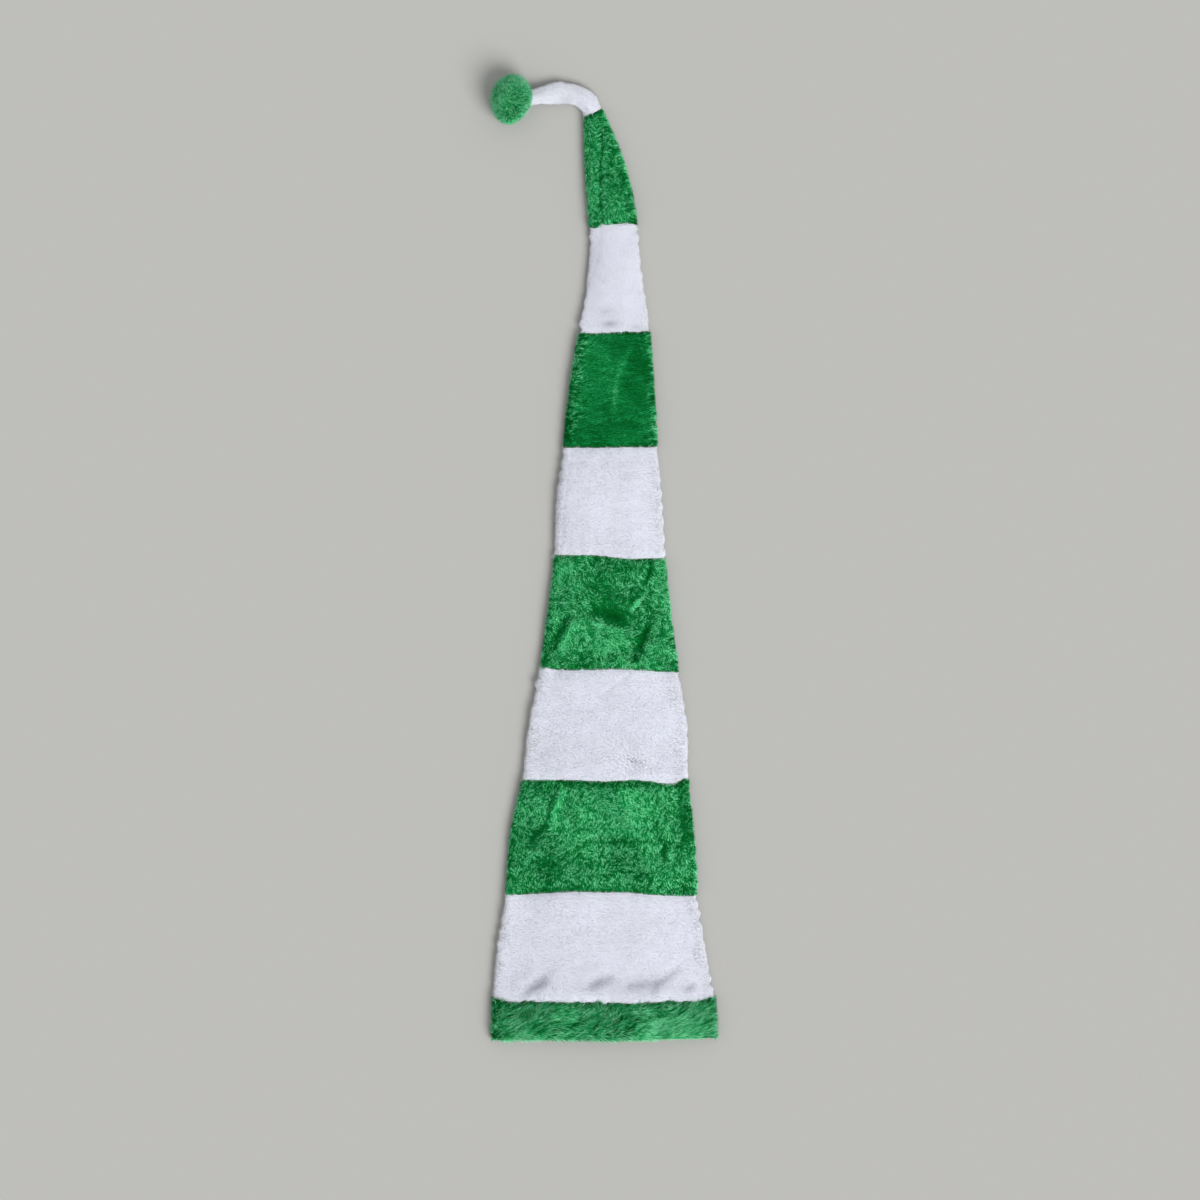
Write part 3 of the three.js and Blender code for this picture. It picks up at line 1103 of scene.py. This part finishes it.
def clad(mesh, name, node):
    """Gives a mesh its cloth, with the tone of the pile that stands on it."""
    look = PILES[node]
    x, y = places(mesh).T[:2]
    # Painted shade between the green fibres, below the pile's tone
    tone = base_tone(x, y, look["shade"]) - CLOTH_PAINTED_SHADE[look["slot"]]
    mesh.attributes.new(TONE, "FLOAT", "POINT").data.foreach_set("value", tone.astype(np.float32))
    for material in CLOTHS[look["slot"]]:
        mesh.materials.append(material)
    return shown(name, mesh)


def settle(piece, pile, node):
    for each in (piece, pile):
        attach(each, "root")
    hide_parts(node)


def make_band(node, index):
    """One band or the tail: a closed loop of cloth lying flat, two layers deep."""
    mesh = smooth_form(node, TAIL_HOLLOW if node == "tail" else BAND_HOLLOW, CLOTH_ROUNDING)
    refine_outside(mesh, TAIL_SPLITS if node == "tail" else BAND_SPLITS)
    press(mesh, index, PILES[node]["slot"])
    cloth = clad(mesh, node + "_cloth", node)
    pile = Pile(mesh, node, index, PILE_LOWEST, PILE_STEEPEST).made()
    settle(cloth, pile, node)


def make_pompom(index):
    """An egg of pile on a core, flatter at its lower right."""
    mesh = smooth_form("pompom", POMPOM_HOLLOW, POMPOM_ROUNDING)
    low, high = (np.array(corner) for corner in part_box("pompom"))
    out = (places(mesh) - (low + high) / 2) * POMPOM_CORE
    reach = out @ LOWER_RIGHT
    past = np.maximum(reach - FLAT_FROM * reach.max(), 0)
    out -= FLATTENED * past[:, None] * LOWER_RIGHT
    move_to(mesh, (low + high) / 2 + out + POMPOM_SHIFT)
    core = clad(mesh, "pompom_core", "pompom")
    pile = Pile(mesh, "pompom", index, ALL_OVER, ALL_OVER).made()
    settle(core, pile, "pompom")


def make_stage():
    """A pale floor, a soft key light from the lower right and even light from all round."""
    scene = bpy.context.scene
    mesh = bpy.data.meshes.new("floor")
    ways = ((-1, -1), (1, -1), (1, 1), (-1, 1))
    mesh.from_pydata([(x * FLOOR_REACH, y * FLOOR_REACH, -FLOOR_DROP) for x, y in ways], [], [(0, 1, 2, 3)])
    floor = shown("floor", mesh)
    mesh.materials.append(plain_material("floor", FLOOR_COLOUR, FLOOR_ROUGHNESS, FLOOR_SHINE))

    world = bpy.data.worlds.new("studio")
    world.use_nodes = True
    background = world.node_tree.nodes["Background"]
    set_inputs(background, {"Color": (*WORLD_COLOUR, 1), "Strength": WORLD_STRENGTH})
    scene.world = world

    key = bpy.data.lights.new("key", "SUN")
    key.energy = KEY_ENERGY
    key.angle = math.radians(KEY_SPREAD)
    holder = bpy.data.objects.new("key", key)
    holder.rotation_euler = [math.radians(turn) for turn in KEY_TURN]
    scene.collection.objects.link(holder)

    scene.view_settings.view_transform = "Standard"


def make_camera():
    """Straight above the hat, framed as the photograph is."""
    low, high = (np.array(corner) for corner in cad_box)
    middle = (low + high) / 2
    metres_per_px = (high[0] - low[0]) / (HAT_RIGHT_PX - HAT_LEFT_PX)
    right_px = PHOTO_SIDE_PX / 2 - (HAT_LEFT_PX + HAT_RIGHT_PX) / 2
    down_px = PHOTO_SIDE_PX / 2 - (HAT_TOP_PX + HAT_RIM_PX) / 2
    camera = bpy.data.cameras.new("camera")
    camera.lens = camera.sensor_width * CAMERA_DISTANCE / (PHOTO_SIDE_PX * metres_per_px)
    holder = bpy.data.objects.new("camera", camera)
    holder.location = (
        middle[0] + right_px * metres_per_px,
        middle[1] - down_px * metres_per_px,
        OUTLINE_HEIGHT + CAMERA_DISTANCE,
    )
    bpy.context.scene.collection.objects.link(holder)
    bpy.context.scene.camera = holder


make_camera()
make_stage()
for place, name in enumerate([*BANDS, "tail"]):
    make_band(name, place)
make_pompom(len(SEAMS))
